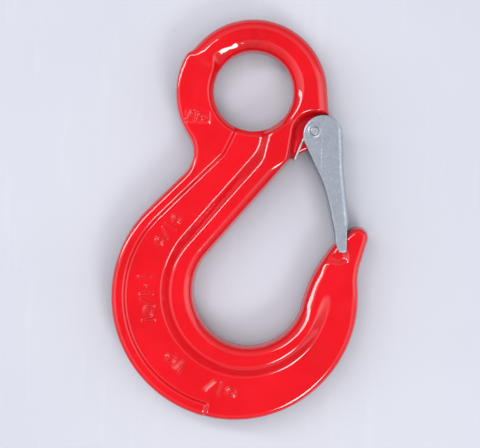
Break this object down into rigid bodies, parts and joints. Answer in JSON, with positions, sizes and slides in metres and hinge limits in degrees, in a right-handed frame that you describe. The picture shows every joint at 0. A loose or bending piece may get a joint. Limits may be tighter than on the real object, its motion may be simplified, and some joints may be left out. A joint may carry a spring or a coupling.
{
  "type": "eye sling hook with latch",
  "caption": "Forged lifting hook with a round eye, an I-section back and a sprung sheet latch that closes its throat.",
  "frame": {"origin": "centre of the eye's bore, on the forging's mid-plane", "axes": "+Z along the bore, across the hook's thickness; +Y from the bowl to the eye; +X from the back of the hook to the latch and the point"},
  "size_m": [0.1152, 0.1803, 0.021],
  "materials": {
    "hook_paint": "gloss red enamel over forged steel",
    "latch_zinc": "dull bright zinc plating",
    "pin_steel": "zinc plated",
    "spring_steel": "bright drawn wire"
  },
  "bodies": {
    "hook": {"hook_body": "hook_paint", "latch_spring": "spring_steel"},
    "latch": {"latch": "latch_zinc", "latch_pin": "pin_steel"}
  },
  "joints": [
    {"name": "latch_pivot", "type": "hinge", "parent": "hook", "child": "latch", "pos_m": [0.0274, -0.0174, 0], "axis": [0, 0, 1], "range_deg": [-45, 0], "stiffness_Nm_per_rad": 0.08, "springref_deg": 57.3, "deforming": ["latch_spring"]}
  ]
}
